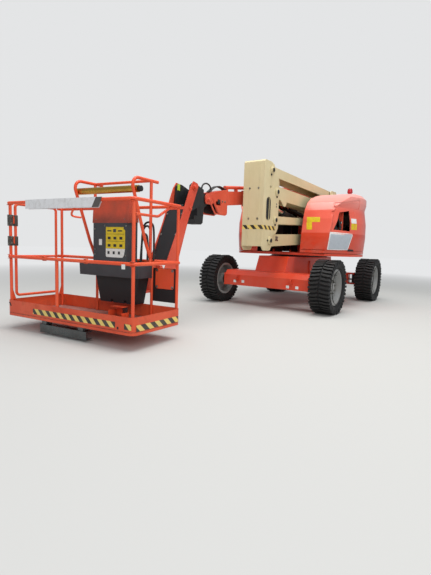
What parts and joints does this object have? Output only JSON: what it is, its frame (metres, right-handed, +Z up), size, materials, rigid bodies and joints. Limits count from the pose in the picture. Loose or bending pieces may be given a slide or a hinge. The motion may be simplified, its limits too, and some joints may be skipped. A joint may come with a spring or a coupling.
{
  "type": "articulating boom lift",
  "caption": "Wheeled articulating boom lift, stowed: chassis, slewing turntable with hoods, folding tower, telescoping boom, jib and railed work platform.",
  "frame": {"origin": "the slew axis where it meets the ground", "axes": "+X towards the platform end, +Y the machine's left side, +Z up"},
  "size_m": [6.5266, 2.561, 2.2513],
  "materials": {
    "orange_paint": "weathered gloss paint with scuffs and rust at the edges",
    "hood_paint": "moulded hood, gloss paint dulled by weather",
    "tan_paint": "satin paint with chips at the pins",
    "black_plastic": "moulded black plastic, faded",
    "black_steel": "black enamel on castings, dusty",
    "tyre_rubber": "foam filled lug tyre, dusty",
    "rim_paint": "light grey paint, dirty",
    "grey_steel": "galvanised steel, dull",
    "chrome_rod": "hard chrome rod",
    "gold_tube": "gold bronze foam covered tube",
    "cover_grey": "folded light grey cover",
    "beacon_lens": "red lens",
    "iron_cast": "cast iron, oily"
  },
  "bodies": {
    "chassis": {"chassis_frame": "orange_paint", "front_beam": "orange_paint", "tie_down_lugs": "orange_paint", "front_hubs": "black_steel", "steer_axle": "orange_paint", "slew_bearing": "black_steel"},
    "steer_left": {"steering_knuckle_left": "black_steel"},
    "steer_right": {"steering_knuckle_right": "black_steel"},
    "tie_rod": {"tie_rod": "black_steel"},
    "turntable": {"turntable_frame": "orange_paint", "counterweight": "orange_paint", "engine_block": "iron_cast", "hydraulic_tank": "black_steel", "ground_control_box": "black_plastic"},
    "hood_left": {"hood_left": "hood_paint", "beacon": "beacon_lens"},
    "hood_right": {"hood_right": "hood_paint"},
    "lower_tower_boom": {"lower_tower_boom": "tan_paint"},
    "lower_tower_link": {"lower_tower_link": "tan_paint"},
    "mid_upright": {"mid_upright": "tan_paint"},
    "upper_tower_boom": {"upper_tower_boom": "tan_paint"},
    "upper_tower_link": {"upper_tower_link": "tan_paint"},
    "rear_upright": {"rear_upright": "tan_paint"},
    "tower_cylinder_barrel": {"tower_cylinder_barrel": "black_steel"},
    "tower_cylinder_rod": {"tower_cylinder_rod": "chrome_rod"},
    "lift_cylinder_barrel": {"lift_cylinder_barrel": "black_steel"},
    "lift_cylinder_rod": {"lift_cylinder_rod": "chrome_rod"},
    "main_boom": {"main_boom": "orange_paint"},
    "fly": {"fly_boom": "orange_paint", "hose_carrier": "orange_paint"},
    "jib_knuckle": {"jib_knuckle": "black_steel"},
    "jib": {"jib_boom": "orange_paint", "jib_cover": "black_plastic"},
    "jib_link": {"jib_link": "black_steel"},
    "jib_cylinder_barrel": {"jib_cylinder_barrel": "black_steel"},
    "jib_cylinder_rod": {"jib_cylinder_rod": "chrome_rod"},
    "platform_support": {"platform_support": "orange_paint"},
    "platform": {"rotator_arm": "orange_paint", "platform_floor": "orange_paint", "top_rail": "orange_paint", "mid_rail": "orange_paint", "platform_posts": "orange_paint", "guard_hoops": "orange_paint", "guard_tube": "gold_tube", "rail_cover": "cover_grey", "console_box": "black_plastic", "console_cover": "orange_paint", "console_tray": "black_plastic", "storage_box": "black_plastic", "underfloor_channel": "grey_steel", "side_guard": "orange_paint"},
    "gate": {"gate": "orange_paint"},
    "wheel_front_left": {"rim_front_left": "rim_paint", "tyre_front_left": "tyre_rubber"},
    "wheel_front_right": {"rim_front_right": "rim_paint", "tyre_front_right": "tyre_rubber"},
    "wheel_rear_left": {"rim_rear_left": "rim_paint", "tyre_rear_left": "tyre_rubber"},
    "wheel_rear_right": {"rim_rear_right": "rim_paint", "tyre_rear_right": "tyre_rubber"}
  },
  "joints": [
    {"name": "roll_front_left", "type": "hinge", "parent": "chassis", "child": "wheel_front_left", "pos_m": [1.175, 1.013, 0.42], "axis": [0, 1, 0], "continuous": true},
    {"name": "roll_front_right", "type": "hinge", "parent": "chassis", "child": "wheel_front_right", "pos_m": [1.175, -1.013, 0.42], "axis": [0, 1, 0], "continuous": true},
    {"name": "roll_rear_left", "type": "hinge", "parent": "steer_left", "child": "wheel_rear_left", "pos_m": [-1.175, 1.013, 0.42], "axis": [0, 1, 0], "continuous": true},
    {"name": "roll_rear_right", "type": "hinge", "parent": "steer_right", "child": "wheel_rear_right", "pos_m": [-1.175, -1.013, 0.42], "axis": [0, 1, 0], "continuous": true},
    {"name": "steer", "type": "hinge", "parent": "chassis", "child": "steer_left", "pos_m": [-1.175, 0.745, 0.42], "axis": [0, 0, 1], "range_deg": [-30, 30]},
    {"name": "steer_other", "type": "hinge", "parent": "chassis", "child": "steer_right", "pos_m": [-1.175, -0.745, 0.42], "axis": [0, 0, 1], "range_deg": [-30, 30]},
    {"name": "tie_rod_slide", "type": "slide", "parent": "chassis", "child": "tie_rod", "axis": [0, 1, 0], "range_m": [-0.1001, 0.1001]},
    {"name": "slew", "type": "hinge", "parent": "chassis", "child": "turntable", "pos_m": [0, 0, 0.9], "axis": [0, 0, 1], "range_deg": [-177.5, 177.5]},
    {"name": "hood_left_hinge", "type": "hinge", "parent": "turntable", "child": "hood_left", "pos_m": [0, 0.37, 1.985], "axis": [1, 0, 0], "range_deg": [0, 50]},
    {"name": "hood_right_hinge", "type": "hinge", "parent": "turntable", "child": "hood_right", "pos_m": [0, -0.45, 1.985], "axis": [-1, 0, 0], "range_deg": [0, 50]},
    {"name": "tower_lift", "type": "hinge", "parent": "turntable", "child": "lower_tower_boom", "pos_m": [-0.78253, 0, 1.21341], "axis": [0, -1, 0], "range_deg": [0, 68]},
    {"name": "lower_link_turn", "type": "hinge", "parent": "turntable", "child": "lower_tower_link", "pos_m": [-0.93053, 0, 1.52941], "axis": [0, -1, 0], "range_deg": [0, 68]},
    {"name": "mid_upright_level", "type": "hinge", "parent": "lower_tower_boom", "child": "mid_upright", "pos_m": [1.815, 0, 1.1], "axis": [0, -1, 0], "range_deg": [-68, 0]},
    {"name": "upper_tower_lift", "type": "hinge", "parent": "mid_upright", "child": "upper_tower_boom", "pos_m": [1.645, 0, 1.838], "axis": [0, 1, 0], "range_deg": [0, 68]},
    {"name": "upper_link_turn", "type": "hinge", "parent": "mid_upright", "child": "upper_tower_link", "pos_m": [1.825, 0, 2.133], "axis": [0, 1, 0], "range_deg": [0, 68]},
    {"name": "rear_upright_level", "type": "hinge", "parent": "upper_tower_boom", "child": "rear_upright", "pos_m": [-0.95444, 0, 1.784], "axis": [0, 1, 0], "range_deg": [-68, 0]},
    {"name": "tower_cylinder_swing", "type": "hinge", "parent": "lower_tower_boom", "child": "tower_cylinder_barrel", "pos_m": [-0.4665, 0, 1.34475], "axis": [0, -1, 0], "range_deg": [-0.2766, 0.01]},
    {"name": "tower_cylinder_stroke", "type": "slide", "parent": "tower_cylinder_barrel", "child": "tower_cylinder_rod", "axis": [0.9884, 0, 0.152], "range_m": [0, 0.91771]},
    {"name": "boom_lift", "type": "hinge", "parent": "rear_upright", "child": "main_boom", "pos_m": [-0.95, -0.25, 2.083], "axis": [0, -1, 0], "range_deg": [0, 82]},
    {"name": "lift_cylinder_swing", "type": "hinge", "parent": "rear_upright", "child": "lift_cylinder_barrel", "pos_m": [-0.815, -0.25, 1.64], "axis": [0, -1, 0], "range_deg": [-0.01, 69.97]},
    {"name": "lift_cylinder_stroke", "type": "slide", "parent": "lift_cylinder_barrel", "child": "lift_cylinder_rod", "axis": [0.9903, 0, 0.1387], "range_m": [0, 0.54927]},
    {"name": "telescope", "type": "slide", "parent": "main_boom", "child": "fly", "axis": [0.9925, 0, -0.1219], "range_m": [0, 1.3]},
    {"name": "knuckle_level", "type": "hinge", "parent": "fly", "child": "jib_knuckle", "pos_m": [2.79, -0.25, 1.61], "axis": [0, -1, 0], "range_deg": [-82, 0]},
    {"name": "jib_lift", "type": "hinge", "parent": "jib_knuckle", "child": "jib", "pos_m": [3.15, -0.25, 1.72], "axis": [0, -1, 0], "range_deg": [0, 144]},
    {"name": "jib_link_turn", "type": "hinge", "parent": "jib_knuckle", "child": "jib_link", "pos_m": [3.135, -0.25, 1.57], "axis": [0, -1, 0], "range_deg": [0, 144]},
    {"name": "support_level", "type": "hinge", "parent": "jib", "child": "platform_support", "pos_m": [3.63451, -0.25, 0.57857], "axis": [0, -1, 0], "range_deg": [-144, 0]},
    {"name": "jib_cylinder_swing", "type": "hinge", "parent": "jib_knuckle", "child": "jib_cylinder_barrel", "pos_m": [3.18479, -0.25, 1.47243], "axis": [0, -1, 0], "range_deg": [-0.01, 143.12]},
    {"name": "jib_cylinder_stroke", "type": "slide", "parent": "jib_cylinder_barrel", "child": "jib_cylinder_rod", "axis": [0.4728, 0, -0.8812], "range_m": [0, 0.47541]},
    {"name": "platform_rotate", "type": "hinge", "parent": "platform_support", "child": "platform", "pos_m": [3.8, -0.25, 0.6], "axis": [0, 0, 1], "range_deg": [-95.8, 84.2]},
    {"name": "gate_hinge", "type": "hinge", "parent": "platform", "child": "gate", "pos_m": [4.82437, -1.30912, 0.851], "axis": [0, 0, -1], "range_deg": [0, 90]}
  ],
  "couplings": [
    {"joint": "steer_other", "follows": "steer", "ratio": 1},
    {"joint": "tie_rod_slide", "follows": "steer", "m_per_rad": -0.19099},
    {"joint": "lower_link_turn", "follows": "tower_lift", "ratio": 1},
    {"joint": "mid_upright_level", "follows": "tower_lift", "ratio": -1},
    {"joint": "upper_tower_lift", "follows": "tower_lift", "ratio": 1},
    {"joint": "upper_link_turn", "follows": "tower_lift", "ratio": 1},
    {"joint": "rear_upright_level", "follows": "tower_lift", "ratio": -1},
    {"joint": "tower_cylinder_swing", "follows": "tower_lift", "ratio": -0.0039213},
    {"joint": "tower_cylinder_stroke", "follows": "tower_lift", "m_per_rad": 0.77317},
    {"joint": "lift_cylinder_swing", "follows": "boom_lift", "ratio": 0.8532},
    {"joint": "lift_cylinder_stroke", "follows": "boom_lift", "m_per_rad": 0.38372},
    {"joint": "knuckle_level", "follows": "boom_lift", "ratio": -1},
    {"joint": "jib_link_turn", "follows": "jib_lift", "ratio": 1},
    {"joint": "support_level", "follows": "jib_lift", "ratio": -1},
    {"joint": "jib_cylinder_swing", "follows": "jib_lift", "ratio": 0.99383},
    {"joint": "jib_cylinder_stroke", "follows": "jib_lift", "m_per_rad": 0.18912}
  ]
}
